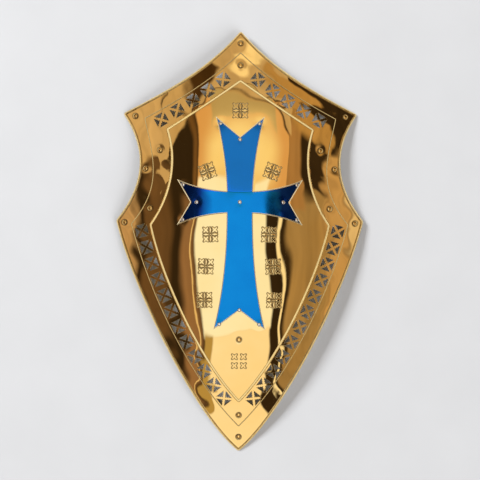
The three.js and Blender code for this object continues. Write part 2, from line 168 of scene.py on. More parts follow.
SOFTBOXES = [
    ("#d9ab79", 1.00, -0.30, 0.335, 0.13, 0.402, 0.008, 0.8, 0),
    ("#b5a27c", 1.00, -0.20, 0.22, 0.350, 0.402, 0.010, 0.8, 0),
    ("#f8e5b7", 1.00, -0.23, 0.23, 0.15, 0.335, 0.07, 0.8, 0),
    ("#f8fbff", 1.04, -0.295, 0.20, -0.31, 0.155, 0.012, 0.0, 0),
    ("#b79c62", 0.95, -0.285, -0.20, -0.80, -0.30, 0.012, 0.0, 0),
    ("#fff2e0", 0.98, -0.205, 0.19, -0.80, -0.30, 0.012, 0.0, 0),
    ("#f8e5b7", 1.00, -0.09, 0.09, 0.108, 0.170, 0.008, 0.0, 0),
    ("#fff4e0", 1.00, 0.275, 0.295, -0.60, 0.05, 0.006, 0.0, 0),
    ("#ffe0b0", 0.80, -0.335, -0.325, -0.75, 0.10, 0.004, 0.0, 0),
]
# How steeply a ray climbs where the horizon fades out, and where the walls and boxes fade in
HORIZON_Z = (0.30, 0.44)
BOXES_Z = (0.42, 0.52)
LOWEST_CLIMB = 0.05
STREAKS = (0.80, 1.14)
FOLD_STRETCH = (1.0, 0.22, 1.0)
FOLDS_PER_SLOPE = 9.0
ROOM_STRENGTH = 1.05

world = bpy.data.worlds.new("studio")
bpy.context.scene.world = world
world.use_nodes = True
tree = world.node_tree
tree.nodes.clear()
direction = add(tree, "ShaderNodeTexCoord").outputs["Generated"]
parts = add(tree, "ShaderNodeSeparateXYZ", {"Vector": direction})
climb = add(tree, "ShaderNodeMath", {0: parts.outputs["Z"], 1: LOWEST_CLIMB}, operation="MAXIMUM")
flat = add(tree, "ShaderNodeVectorMath", {0: direction, 1: (1, 1, 0)}, operation="MULTIPLY")
inverse = add(tree, "ShaderNodeMath", {0: 1.0, 1: climb.outputs[0]}, operation="DIVIDE")
slope = add(tree, "ShaderNodeVectorMath", {
    0: flat.outputs[0], "Scale": inverse.outputs[0],
}, operation="SCALE")
slope_parts = add(tree, "ShaderNodeSeparateXYZ", {"Vector": slope.outputs[0]})
across_squared = add(tree, "ShaderNodeMath", {0: slope_parts.outputs["X"], 1: 2.0}, operation="POWER")
ceiling_share = add(tree, "ShaderNodeMapRange", {
    "Value": parts.outputs["Z"], "From Min": HORIZON_Z[0], "From Max": HORIZON_Z[1],
}, interpolation_type="SMOOTHSTEP")
up_only = add(tree, "ShaderNodeMapRange", {
    "Value": parts.outputs["Z"], "From Min": BOXES_Z[0], "From Max": BOXES_Z[1],
}, interpolation_type="SMOOTHSTEP")


def hang(light, boxes):
    """Lays the boxes over the light in order. Inputs 7 to 10 are the map range's vector limits."""
    for code, strength, left, right, lower, upper, softness, bow, turn in boxes:
        rise = add(tree, "ShaderNodeMath", {
            0: across_squared.outputs[0], 1: bow, 2: slope_parts.outputs["Y"],
        }, operation="MULTIPLY_ADD")
        bowed = add(tree, "ShaderNodeCombineXYZ", {"X": slope_parts.outputs["X"], "Y": rise.outputs[0]})
        centre = ((left + right) / 2, (lower + upper) / 2, 0)
        turned = add(tree, "ShaderNodeVectorRotate", {
            "Vector": bowed.outputs[0], "Center": centre, "Angle": math.radians(turn),
        }, rotation_type="Z_AXIS")
        offset = add(tree, "ShaderNodeVectorMath", {0: turned.outputs[0], 1: centre}, operation="SUBTRACT")
        distance = add(tree, "ShaderNodeVectorMath", {0: offset.outputs[0]}, operation="ABSOLUTE")
        half = ((right - left) / 2, (upper - lower) / 2)
        within = add(tree, "ShaderNodeMapRange", {
            "Vector": distance.outputs[0],
            7: (half[0] - softness, half[1] - softness, 0),
            8: (half[0] + softness, half[1] + softness, 1),
            9: (1, 1, 1),
            10: (0, 0, 0),
        }, data_type="FLOAT_VECTOR", interpolation_type="SMOOTHSTEP")
        sides = add(tree, "ShaderNodeSeparateXYZ", {"Vector": within.outputs["Vector"]})
        inside = add(tree, "ShaderNodeMath", {
            0: sides.outputs["X"], 1: sides.outputs["Y"],
        }, operation="MULTIPLY")
        mask = add(tree, "ShaderNodeMath", {
            0: inside.outputs[0], 1: up_only.outputs[0],
        }, operation="MULTIPLY")
        colour = [strength * part for part in hex_colour(code)[:3]] + [1.0]
        light = add(tree, "ShaderNodeMixRGB", {
            "Fac": mask.outputs[0], "Color1": light.outputs[0], "Color2": colour,
        })
    return light


room = add(tree, "ShaderNodeMixRGB", {
    "Fac": ceiling_share.outputs[0], "Color1": ROOM_HORIZON, "Color2": ROOM_CEILING,
})
walls = hang(room, WALLS)
# Folds in the cloth on the walls break their light into faint streaks
stretched = add(tree, "ShaderNodeVectorMath", {0: slope.outputs[0], 1: FOLD_STRETCH}, operation="MULTIPLY")
folds = add(tree, "ShaderNodeTexNoise", {
    "Vector": stretched.outputs[0], "Scale": FOLDS_PER_SLOPE, "Detail": 2.5,
})
streaked = add(tree, "ShaderNodeVectorMath", {
    0: walls.outputs[0], "Scale": spread(tree, folds.outputs["Fac"], *STREAKS),
}, operation="SCALE")
light = hang(streaked, SOFTBOXES)
background = add(tree, "ShaderNodeBackground", {"Color": light.outputs[0], "Strength": ROOM_STRENGTH})
add(tree, "ShaderNodeOutputWorld", {"Surface": background.outputs[0]})

LAMP_COLOUR = (0.94, 0.96, 1.0)
# name, place, side in metres, watts
LAMPS = [("key lamp", (-4.6, 3.5, 3.85), 2.2, 1120), ("fill lamp", (4.2, -3.7, 4.4), 5.3, 660)]
for name, place, side, watts in LAMPS:
    lamp_data = bpy.data.lights.new(name, "AREA")
    lamp_data.size = side
    lamp_data.energy = watts
    lamp_data.color = LAMP_COLOUR
    lamp = bpy.data.objects.new(name, lamp_data)
    lamp.location = place
    lamp.rotation_mode = "QUATERNION"
    lamp.rotation_quaternion = (-Vector(place)).to_track_quat("-Z", "Y")
    lamp.visible_glossy = False
    bpy.context.scene.collection.objects.link(lamp)
bpy.context.scene.view_settings.view_transform = "Standard"

# ------------------------------------------------------------------ back plate
# One sheet of brass, 1.2 mm thick, sunk into a shallow dome. Its edge is rolled over into a
# bead, and long windows are cut behind the pierced rows. It is gilt and polished to a mirror
# by hand, so its surface rolls slightly.

OUTER = {
    "corners": [(0, 331.5), (185.5, 202), (195, 33), (0, -331.5)],
    "handles": [((0.36, -16), (0.34, 9.5)), ((0.415, -38.5), (0.435, 36)), ((0.275, 14), (0.205, -22.5))],
    "rounding": [5, 5, 3, 4.5],
}
BORDER = {
    "corners": [(0, 296.5), (150.5, 193.5), (170.5, 27.5), (0, -291)],
    "handles": [((0.35, -10), (0.34, 8)), ((0.38, -19), (0.475, 34)), ((0.3, 13), (0.315, -16.5))],
    "rounding": [2, 2, 2, 2],
}
PANEL = {
    "corners": [(0, 252.5), (115.5, 175.5), (141, 26.5), (0, -251.5)],
    "handles": [((0.33, -2), (0.33, 2)), ((0.355, -28.5), (0.355, 26.5)), ((0.26, 15), (0.285, -17))],
    "rounding": [3, 3, 3, 3],
}
RADIUS_ACROSS = 517
RADIUS_ALONG = 1512
FOOT_TRIM = 1.5
SHEET = 1.2
BACK_TOP = SHEET
# Each profile runs from the sheet's underside round its edge to its face, as how far in from
# the edge, how high above the back plate's underside and how strongly it is marked there: on
# the gilt sheets the mark is painted shade, darkening the metal's colour
RIM_PROFILE = [
    (1.4, 0.0), (0.45, 0.1), (0.0, 0.6), (0.0, 0.95), (0.2, 1.3), (0.95, 2.0), (1.7, 2.66), (2.1, 2.8),
    # The marks paint shade as a dark line at the inner foot of the bead
    (2.6, 2.78), (2.95, 2.6), (3.2, 2.15, 0.1), (3.4, 1.65, 0.4), (3.65, 1.32, 0.7), (4.1, 1.21, 0.4),
    (4.8, 1.2),
]
CUT_PROFILE = [(0.28, 0.0), (0.0, 0.25), (0.0, 0.85), (0.1, 1.1), (0.32, 1.2)]
PIERCED_SIDE = 19.4
WINDOW_HALF = PIERCED_SIDE / 2 + 1
WINDOW_ROUNDING = 1.5
TOP_ROW = {"edge": 0, "count": 5, "start": 35, "end": 11}
FLANK_ROW = {"edge": 2, "count": 12, "start": 11, "end": 35}
LATTICE = 5.0
LATTICE_CLEARANCE = 0.55 * LATTICE
FINE_CLEARANCE = 0.35
MERGE_DISTANCE = 1e-7
CORNER_LEAST = 0.15
SLOPE_STEP = 0.04
WHOLE_TURN = 6.28
DIMPLE_DEPTH = 0.26
DIMPLE_REACH = 7.5
RING_RADII = (3.5, 3.9, 4.2, 4.5, 4.8, 5.1, 5.5, 6.1, 7.0, 8.4)
RING_MARGIN = 1.5
RING_SIDES = 40
# Radius and width of the ring of painted shade round each rivet's head
SHADE_RING_RADIUS = 4.5
SHADE_RING_WIDTH = 0.65
RIM_RIVETS = [f"rim_rivet_{i}" for i in range(1, 9)]
BORDER_RIVETS = [f"border_rivet_{i}" for i in range(1, 7)]


def unit(vector):
    return vector / np.hypot(*vector)


def units(vectors):
    return vectors / np.hypot(*vectors.T)[:, None]


def left_of(vector):
    return np.array([-vector[1], vector[0]])


def rotation(angle):
    c, s = math.cos(angle), math.sin(angle)
    return np.array([[c, -s], [s, c]])


def lengths_along(line):
    """How far along a line each of its points is."""
    return np.concatenate([[0], np.cumsum(np.hypot(*np.diff(line, axis=0).T))])


def bezier(p0, p1, p2, p3, count=97):
    t = np.linspace(0, 1, count)[:, None]
    s = 1 - t
    return s ** 3 * p0 + 3 * s * s * t * p1 + 3 * s * t * t * p2 + t ** 3 * p3


def right_edges(contour):
    """The three right-hand edges of an outline, each a cubic curve from corner to corner."""
    edges = []
    for i, handles in enumerate(contour["handles"]):
        start, end = np.array(contour["corners"][i], float), np.array(contour["corners"][i + 1], float)
        leave, arrive = [rotation(math.radians(angle)) @ (end - start) * share for share, angle in handles]
        edges.append(bezier(start, start + leave, end - arrive, end))
    return edges


def mirrored(points):
    return points[::-1] * np.array([-1, 1])


def contour_loop(contour, inward=True, step=4.0):
    """An outline as a loop with the sheet on its left: anticlockwise, or clockwise round a hole."""
    right = right_edges(contour)
    edges = right + [mirrored(edge) for edge in right[::-1]]
    top, shoulder, hip, tip = contour["rounding"]
    rounding = [top, shoulder, hip, tip, hip, shoulder]
    if inward:
        edges = [edge[::-1] for edge in edges[::-1]]
        rounding = [rounding[0]] + rounding[:0:-1]
    return {"edges": edges, "rounding": rounding, "step": step, "corner_steps": 5}


def ring(loop, inset):
    """The loop moved an even distance into the sheet, with the direction out of the sheet."""
    edges, rounding = loop["edges"], loop["rounding"]
    count = len(edges)
    starts = [unit(edge[1] - edge[0]) for edge in edges]
    ends = [unit(edge[-1] - edge[-2]) for edge in edges]
    cuts, corners = [], []
    for i in range(count):
        before, after = ends[i - 1], starts[i]
        turn = math.atan2(before[0] * after[1] - before[1] * after[0], before @ after)
        cuts.append(max(rounding[i], inset * math.tan(turn / 2) + min(CORNER_LEAST, rounding[i])))
        left_sum = left_of(before) + left_of(after)
        corners.append(edges[i][0] + left_sum * inset / (1 + before @ after))
    runs = []
    for i, edge in enumerate(edges):
        lengths = lengths_along(edge)
        tangents = np.gradient(edge, axis=0) / np.gradient(lengths)[:, None]
        usable = lengths[-1] - rounding[i] - rounding[(i + 1) % count]
        steps = max(1, math.ceil(usable / loop["step"]))
        at = np.linspace(cuts[i], lengths[-1] - cuts[(i + 1) % count], steps + 1)
        points = np.stack([np.interp(at, lengths, edge[:, k]) for k in (0, 1)], 1)
        along = units(np.stack([np.interp(at, lengths, tangents[:, k]) for k in (0, 1)], 1))
        left = np.stack([-along[:, 1], along[:, 0]], 1)
        runs.append((points + left * inset, -left))
    places, outward = [], []
    for i in range(count):
        run, out = runs[i]
        next_run, next_out = runs[(i + 1) % count]
        t = (np.arange(loop["corner_steps"]) + 1)[:, None] / (loop["corner_steps"] + 1)
        control = corners[(i + 1) % count]
        bend = (1 - t) ** 2 * run[-1] + 2 * t * (1 - t) * control + t * t * next_run[0]
        bend_out = (1 - t) * out[-1] + t * next_out[0]
        places += [run, bend]
        outward += [out, units(bend_out)]
    return np.concatenate(places), np.concatenate(outward)


shoulder_x, shoulder_y = OUTER["corners"][1]
tip_y = OUTER["corners"][3][1]
# The crown is placed so that the tip and both shoulders touch the surface
uneven_reach = shoulder_x ** 2 * RADIUS_ALONG / RADIUS_ACROSS + shoulder_y ** 2 - tip_y ** 2
CROWN_Y = uneven_reach / (2 * (shoulder_y - tip_y))


def dome_drop(x, y):
    return x ** 2 / (2 * RADIUS_ACROSS) + (y - CROWN_Y) ** 2 / (2 * RADIUS_ALONG)


CROWN_HEIGHT = dome_drop(shoulder_x, shoulder_y) - FOOT_TRIM


def dome_height(x, y, lift):
    steepness = np.sqrt(1 + (x / RADIUS_ACROSS) ** 2 + ((y - CROWN_Y) / RADIUS_ALONG) ** 2)
    return CROWN_HEIGHT - dome_drop(x, y) + lift * steepness


def rolling(seed, wavelengths, slopes, lean):
    """A gently rolling relief: sine waves of given lengths and slopes in fixed random directions."""
    random = np.random.default_rng(seed)
    waves = []
    for length, steep in zip(wavelengths, slopes):
        angle = random.uniform(-lean, lean)
        number = 2 * math.pi / length
        heading = (number * math.cos(angle), number * math.sin(angle))
        waves.append((*heading, steep / number, random.uniform(0, WHOLE_TURN)))
    return lambda x, y: sum(a * np.sin(kx * x + ky * y + phase) for kx, ky, a, phase in waves)


def rivet_spots(nodes):
    boxes = [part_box(node) for node in nodes]
    return [((low.x + high.x) * 500, (low.y + high.y) * 500) for low, high in boxes]


def dimples(spots):
    """The small hollow that hammering each rivet leaves in the sheet round it."""
    return lambda x, y: sum(
        -DIMPLE_DEPTH * np.exp(-((x - sx) ** 2 + (y - sy) ** 2) / DIMPLE_REACH ** 2) for sx, sy in spots)


def painted_shade_rings(spots):
    """Painted shade: a dark ring in the corner round each rivet's head."""
    return lambda x, y: sum(
        np.exp(-((np.hypot(x - sx, y - sy) - SHADE_RING_RADIUS) / SHADE_RING_WIDTH) ** 2) for sx, sy in spots)


def refine_rings(points, spots):
    """Rings of points round each rivet instead of the coarse ones."""
    angles = np.arange(RING_SIDES) * 2 * math.pi / RING_SIDES
    rings = []
    for sx, sy in spots:
        points = points[np.hypot(points[:, 0] - sx, points[:, 1] - sy) > RING_RADII[-1] + RING_MARGIN]
        for radius in RING_RADII:
            rings.append(np.stack([sx + radius * np.cos(angles), sy + radius * np.sin(angles)], 1))
    return points, np.concatenate(rings)


RIM_SPOTS = rivet_spots(RIM_RIVETS)
BORDER_SPOTS = rivet_spots(BORDER_RIVETS)
plate_wave = rolling(11, (190, 120, 83, 61, 47, 35), (0.007, 0.008, 0.006, 0.004, 0.002, 0.0015), 1.3)
edge_ripple = rolling(31, (44, 33, 25, 18), (0.013, 0.012, 0.009, 0.006), 3.1)
plate_dimples = dimples(RIM_SPOTS + BORDER_SPOTS)


def plate_roll(x, y):
    return plate_wave(x, y) + edge_ripple(x, y) + plate_dimples(x, y)


def inside_loops(points, loops):
    """Even-odd test of points against closed loops."""
    inside = np.zeros(len(points), bool)
    x, y = points[:, 0], points[:, 1]
    for loop in loops:
        low, high = loop.min(0), loop.max(0)
        near = np.nonzero((x > low[0]) & (x < high[0]) & (y > low[1]) & (y < high[1]))[0]
        if not len(near):
            continue
        px, py = x[near, None], y[near, None]
        a, b = loop[None], np.roll(loop, -1, 0)[None]
        spans = (a[..., 1] > py) != (b[..., 1] > py)
        height = np.where(b[..., 1] == a[..., 1], 1, b[..., 1] - a[..., 1])
        crossing = a[..., 0] + (py - a[..., 1]) * (b[..., 0] - a[..., 0]) / height
        inside[near] ^= ((spans & (px < crossing)).sum(1) % 2).astype(bool)
    return inside


def clear_of(points, loops, distance):
    """The points that are inside the loops and no nearer to them than the distance."""
    everything = np.concatenate(loops)
    tree = kdtree.KDTree(len(everything))
    for i, (x, y) in enumerate(everything):
        tree.insert((x, y, 0), i)
    tree.balance()
    points = points[inside_loops(points, loops)]
    return points[np.array([tree.find((x, y, 0))[2] > distance for x, y in points])]


def lattice(loops, spacing):
    """Evenly spread points over the loops' bounds, each row half a step along from the last."""
    everything = np.concatenate(loops)
    low, high = everything.min(0), everything.max(0)
    rows = np.arange(low[1], high[1], spacing * math.sqrt(3) / 2)
    x, y = np.meshgrid(np.arange(low[0], high[0], spacing), rows)
    x = x + (np.arange(len(rows)) % 2)[:, None] * spacing / 2
    return np.stack([x.ravel(), y.ravel()], 1)


def triangles(loops, points):
    """Triangles over the loops and the points inside them, facing up."""
    everything = np.concatenate(loops + [points])
    edges, start = [], 0
    for loop in loops:
        edges += [(start + i, start + (i + 1) % len(loop)) for i in range(len(loop))]
        start += len(loop)
    made = delaunay_2d_cdt([Vector(p) for p in everything.tolist()], edges, [], 0, MERGE_DISTANCE)
    back = np.array([source[0] if source else -1 for source in made[3]])
    faces = back[np.array(made[2])]
    corners = everything[faces]
    inside = inside_loops(corners.mean(1), loops)
    faces, corners = faces[inside], corners[inside]
    a, b = corners[:, 1] - corners[:, 0], corners[:, 2] - corners[:, 0]
    flip = a[:, 0] * b[:, 1] - a[:, 1] * b[:, 0] < 0
    faces[flip] = faces[flip][:, ::-1]
    return faces


def profile_normals(profile):
    """For each point of an edge profile, its normal as a share outward and a share upward."""
    points = np.array([point[:2] for point in profile]) * np.array([-1, 1])
    steps = units(np.diff(points, axis=0))
    along = units(np.concatenate([[(1, 0)], (steps[1:] + steps[:-1]) / 2, [(-1, 0)]]))
    return np.stack([along[:, 1], -along[:, 0]], 1)


def formed_sheet(name, edged_loops, roll, relief=None, refine=None, tarnish_and_painted_shade=None):
    """A sheet formed to the dome, as a mesh. Each loop comes with its edge profile. Both faces
    follow the roll, and only the upper one the relief, the refined points and the painted shade."""
    relief = relief or (lambda x, y: 0 * x)
    xy, lift, up_share, out, out_share, edge_marks, faces = [], [], [], [], [], [], []
    top_loops, low_loops, top_index, low_index = [], [], [], []
    total = 0
    for loop, profile in edged_loops:
        normals = profile_normals(profile)
        for level, (inset, height, *mark) in enumerate(profile):
            points, outward = ring(loop, inset)
            n = len(points)
            xy.append(points)
            out.append(outward)
            lift.append(np.full(n, height))
            out_share.append(np.full(n, normals[level][0]))
            up_share.append(np.full(n, normals[level][1]))
            edge_marks.append(np.full(n, mark[0] if mark else 0.0))
            index = total + np.arange(n)
            if level == 0:
                low_loops.append(points)
                low_index.append(index)
            else:
                below = index - n
                faces += np.stack([below, np.roll(below, -1), np.roll(index, -1), index], 1).tolist()
            if level == len(profile) - 1:
                top_loops.append(points)
                top_index.append(index)
            total += n
    top_height = edged_loops[0][1][-1][1]
    low_height = edged_loops[0][1][0][1]
    for loops, indices, height, up in (
        (top_loops, top_index, top_height, 1.0), (low_loops, low_index, low_height, -1.0),
    ):
        points = clear_of(lattice(loops, LATTICE), loops, LATTICE_CLEARANCE)
        if refine and up > 0:
            points, fine_points = refine(points)
            points = np.concatenate([points, clear_of(fine_points, loops, FINE_CLEARANCE)])
        index = np.concatenate(indices + [total + np.arange(len(points))])
        tris = index[triangles(loops, points)]
        faces += (tris if up > 0 else tris[:, ::-1]).tolist()
        xy.append(points)
        lift.append(np.full(len(points), height))
        out.append(np.zeros((len(points), 2)))
        out_share.append(np.zeros(len(points)))
        up_share.append(np.full(len(points), up))
        # Painted shade on the upper face, from the given function
        shade_there = tarnish_and_painted_shade(*points.T) if tarnish_and_painted_shade and up > 0 else np.zeros(len(points))
        edge_marks.append(np.clip(shade_there, 0, 1))
        total += len(points)
    xy, out = np.concatenate(xy), np.concatenate(out)
    lift, up_share, out_share = np.concatenate(lift), np.concatenate(up_share), np.concatenate(out_share)
    x, y = xy.T
    raised = relief(x, y) * (up_share > 0)
    z = np.maximum(dome_height(x, y, lift) + roll(x, y) + raised, 0)

    def height(px, py):
        return dome_height(px, py, 0) + roll(px, py) + relief(px, py) * (up_share > 0)

    slope_x = (height(x + SLOPE_STEP, y) - height(x - SLOPE_STEP, y)) / (2 * SLOPE_STEP)
    slope_y = (height(x, y + SLOPE_STEP) - height(x, y - SLOPE_STEP)) / (2 * SLOPE_STEP)
    up = np.stack([-slope_x, -slope_y, np.ones_like(x)], 1)
    up /= np.linalg.norm(up, axis=1)[:, None]
    sideways = np.concatenate([out, np.zeros((len(x), 1))], 1)
    sideways -= (sideways * up).sum(1)[:, None] * up
    normals = sideways * out_share[:, None] + up * up_share[:, None]
    normals /= np.linalg.norm(normals, axis=1)[:, None]
    low, high = np.array(cad_box)
    places = np.clip(np.stack([x, y, z], 1) / 1000, low, high)
    mesh = bpy.data.meshes.new(name)
    mesh.from_pydata(places.tolist(), [], faces)
    mesh.shade_smooth()
    mesh.normals_split_custom_set_from_vertices(normals.tolist())
    marks = mesh.attributes.new("edge_mark", "FLOAT", "POINT")
    marks.data.foreach_set("value", np.concatenate(edge_marks).astype(np.float32))
    return mesh


def show(name, mesh, material, nodes):
    """Puts a finished mesh in the scene in place of its CAD nodes."""
    piece = bpy.data.objects.new(name, mesh)
    mesh.materials.clear()
    mesh.materials.append(material)
    bpy.context.scene.collection.objects.link(piece)
    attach(piece, "root")
    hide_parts(*nodes)


def middle_line(edge_number):
    """The line half way across the border, along one of its runs."""
    return (right_edges(BORDER)[edge_number] + right_edges(PANEL)[edge_number]) / 2


def along_line(line, distance):
    """The place and heading at a distance along a line."""
    lengths = lengths_along(line)
    heading = np.gradient(line, axis=0)
    place = np.array([np.interp(distance, lengths, line[:, k]) for k in (0, 1)])
    along = unit(np.array([np.interp(distance, lengths, heading[:, k]) for k in (0, 1)]))
    return place, along, lengths[-1]


def window_loop(row, side):
    """The long window behind one pierced row, clockwise so that the sheet is on its left."""
    line = middle_line(row["edge"])
    length = along_line(line, 0)[2]
    stations = np.linspace(row["start"] - WINDOW_HALF, length - row["end"] + WINDOW_HALF, 25)
    spots = [along_line(line, station)[:2] for station in stations]
    one = np.array([place + left_of(along) * WINDOW_HALF for place, along in spots])
    other = np.array([place - left_of(along) * WINDOW_HALF for place, along in spots])[::-1]
    edges = [one, np.array([one[-1], other[0]]), other, np.array([other[-1], one[0]])]
    if side < 0:
        edges = [mirrored(edge) for edge in edges[::-1]]
    return {"edges": edges, "rounding": [WINDOW_ROUNDING] * 4, "step": 4.0, "corner_steps": 4}


def with_painted_shade(tree, where, colour, roughness, dark):
    """Darkens and dulls a metal where edge_mark is set, unevenly: painted shade in its corners and round
    its rivets and struck crosses.
    """
    mark = add(tree, "ShaderNodeAttribute", attribute_name="edge_mark").outputs["Fac"]
    uneven = spread(tree, noise(tree, where, 4, 3, 0.6), 0.55, 1.0)
    left = add(tree, "ShaderNodeMath", {0: mark, 1: uneven}, operation="MULTIPLY").outputs[0]
    # Painted shade mixed into the colour
    shaded = add(tree, "ShaderNodeMixRGB", {"Fac": left, "Color1": colour, "Color2": hex_colour(dark)})
    duller = add(tree, "ShaderNodeMath", {0: left, 1: 0.35, 2: roughness}, operation="MULTIPLY_ADD")
    return shaded.outputs[0], duller.outputs[0]


# Mirror-polished gilding: bright warm gold, with a faint haze of wiping marks, slightly
# redder where the gilding is thinner, the small ripple left by hand polishing, and painted
# shade, dark brown, in the corners and round the rivets and struck crosses
gilt, tree, shader = new_material("gilt brass, hand polished")
where = add(tree, "ShaderNodeTexCoord").outputs["Object"]
thin_patches = spread(tree, noise(tree, where, 70, 3), 0, 1)
tone = add(tree, "ShaderNodeMixRGB", {
    "Fac": thin_patches, "Color1": hex_colour("#ffe3a2"), "Color2": hex_colour("#fddc94"),
})
stretched = add(tree, "ShaderNodeMapping", {
    "Vector": where, "Scale": (1.0, 0.16, 1.0), "Rotation": (0, 0, 0.5),
})
wiping = noise(tree, stretched.outputs[0], 5, 4, 0.6)
smears = noise(tree, where, 26, 3, 0.55)
marks = add(tree, "ShaderNodeMath", {0: wiping, 1: smears}, operation="MULTIPLY")
haze = spread(tree, marks.outputs[0], 0.006, 0.035, 0.16, 0.42)
# Painted shade: dark brown where edge_mark is set
colour, roughness = with_painted_shade(tree, where, tone.outputs[0], haze, "#2a1808")
ripple = add(tree, "ShaderNodeBump", {
    "Height": noise(tree, where, 24, 1.5, 0.4), "Strength": 1.0, "Distance": 0.00003,
})
fine = add(tree, "ShaderNodeBump", {
    "Height": wiping, "Strength": 1.0, "Distance": 0.0000022, "Normal": ripple.outputs[0],
})
feed(tree, shader, {
    "Base Color": colour, "Metallic": 1.0, "Roughness": roughness, "Normal": fine.outputs[0],
})

plate_loops = [(contour_loop(OUTER), RIM_PROFILE)]
plate_loops += [(window_loop(row, side), CUT_PROFILE) for row in (TOP_ROW, FLANK_ROW) for side in (1, -1)]
plate_mesh = formed_sheet(
    "back_plate_sheet", plate_loops, plate_roll,
    refine=lambda points: refine_rings(points, RIM_SPOTS), tarnish_and_painted_shade=painted_shade_rings(RIM_SPOTS))
show("back_plate_sheet", plate_mesh, gilt, ["back_plate"])

# ------------------------------------------------------------------ pierced border
# A second sheet laid over the back plate and riveted to it. Rows of square crosses are sawn
# through it: each is four triangles, and the bars left between them are filed into beads. The
# holes belong to the sheet's outline, as cutting them out later would crease its mirror face.

COVER_BOTTOM = BACK_TOP + 0.3
BEADS_FIRST = 1.6
BEADS_TAPER = 0.35
BAR_HALF = 1.35
BEAD_DEPTH = 1.2
CORNER_WEB = 1.2
BEADS_PER_BAR = 3
PANEL_GAP = 0.3


def lifted(base, profile):
    """An edge profile whose heights are measured from a base."""
    return [(inset, base + height, *mark) for inset, height, *mark in profile]


# The marks on the outer edge paint shade as a dark line along the seam with the back plate
BORDER_PROFILE = lifted(COVER_BOTTOM, [
    (0.3, 0.0), (0.0, 0.25), (0.0, 0.5, 0.8), (0.25, 0.72, 0.6), (0.75, 0.98, 0.2), (1.25, 1.16),
    (1.7, SHEET),
])
SAWN_PROFILE = lifted(COVER_BOTTOM, [(0.14, 0.0), (0.0, 0.15), (0.0, 0.95), (0.07, 1.12), (0.22, 1.2)])


def pierced_loops(row, side):
    """The triangles of one row's crosses, clockwise, with beaded edges along the bars."""
    line = middle_line(row["edge"])
    length = along_line(line, 0)[2]
    half = PIERCED_SIDE / 2
    reach = half * math.sqrt(2) - CORNER_WEB
    loops = []
    start = BAR_HALF * BEADS_FIRST
    t = np.linspace(0, 1, 19)
    bead = BEAD_DEPTH * (0.5 - 0.5 * np.cos(2 * math.pi * BEADS_PER_BAR * t)) * (1 - BEADS_TAPER * t)
    for k in range(row["count"]):
        station = row["start"] + k * (length - row["start"] - row["end"]) / (row["count"] - 1)
        centre, along, _ = along_line(line, station)
        heading = math.atan2(along[1], along[0])
        for quarter in range(4):
            # In a frame whose axes are the bars: one edge runs along each bar
            run = start + (reach - start) * t
            bar = BAR_HALF + bead
            lower = np.stack([run, bar], 1)
            upper = np.stack([bar, run], 1)[::-1]
            outer = np.array([upper[0], lower[-1]])
            turn = rotation(heading - math.pi / 4 + quarter * math.pi / 2)
            edges = [edge @ turn.T + centre for edge in (upper[::-1], outer, lower[::-1])]
            if side < 0:
                edges = [mirrored(edge) for edge in edges[::-1]]
            loops.append({"edges": edges, "rounding": [0.3, 0.3, 0.3], "step": 0.6, "corner_steps": 2})
    return loops


border_loops = [(contour_loop(BORDER), BORDER_PROFILE)]
inner_profile = [(inset + PANEL_GAP, height) for inset, height in SAWN_PROFILE]
border_loops.append((contour_loop(PANEL, inward=False), inner_profile))
for row in (TOP_ROW, FLANK_ROW):
    for side in (1, -1):
        border_loops += [(loop, SAWN_PROFILE) for loop in pierced_loops(row, side)]
border_mesh = formed_sheet(
    "pierced_border_sheet", border_loops, plate_roll,
    refine=lambda points: refine_rings(points, BORDER_SPOTS), tarnish_and_painted_shade=painted_shade_rings(BORDER_SPOTS))
show("pierced_border_sheet", border_mesh, gilt, ["pierced_border"])

# ------------------------------------------------------------------ centre panel
# A shallow tray of sheet with its rim turned down onto the back plate. Ten floral crosses
# are struck into it from behind with one punch, so they stand up from its face.

PANEL_TOP = COVER_BOTTOM + 3.2
# The mark low on the turned-down rim paints shade as a dark line at its foot
PANEL_PROFILE = [
    *lifted(PANEL_TOP, [(4.8, -SHEET), (3.7, -1.35), (3.0, -1.75)]),
    *lifted(COVER_BOTTOM, [
        (1.6, 0.55), (1.3, 0.0), (0.3, 0.0), (0.0, 0.2), (0.0, 1.05, 0.6), (0.15, 1.35),
    ]),
    *lifted(PANEL_TOP, [(1.5, -1.12), (2.8, -0.36), (3.2, -0.09), (3.8, 0.0)]),
]
# Centre of each struck cross, its turn in degrees and whether its pointed arms came up
STAMPS = [(0, 203.4, 0, True)]
for stamp_x, stamp_y, stamp_turn in ((50, 108.7, 20), (45.3, 11.2, 2), (52, -38.2, -2), (53.9, -90.3, 1)):
    STAMPS += [(-stamp_x, stamp_y, stamp_turn, True), (stamp_x, stamp_y, -stamp_turn, True)]
STAMPS.append((0, -185.5, 0, False))
STAMP_HALF = 16.0
STAMP_RISE = 0.66
STAMP_WALL = 0.7
STAMP_LATTICE = 0.5
# The punch, from its middle: each small cross's place, mean reach and how far that swings, then
# the pointed arms' start, length and half width, and the boss
SMALL_PLACE, SMALL_REACH, SMALL_SWING = 7, 4.3, 1.6
ARM_START, ARM_LENGTH, ARM_HALF = 1.0, 11.8, 2.2
ARM_TRIM = 0.25
ARM_END = 12.0
BOSS_RADIUS = 1.5
# Where and how wide the dark line of painted shade runs round the foot of each struck cross
STAMP_SHADE_OUT = 0.5
STAMP_SHADE_WIDTH = 0.55
FACE_CROWN = 0.08
FACE_REACH = 1.6
panel_extra = rolling(23, (150, 96, 70, 52), (0.009, 0.008, 0.005, 0.002), 0.5)
CROSS_RIVETS = [f"cross_rivet_{i}" for i in range(1, 14)]
PANEL_SPOTS = rivet_spots(["panel_rivet"])
panel_dimples = dimples(PANEL_SPOTS + rivet_spots(CROSS_RIVETS))


def panel_roll(x, y):
    return plate_wave(x, y) + panel_extra(x, y) + panel_dimples(x, y)


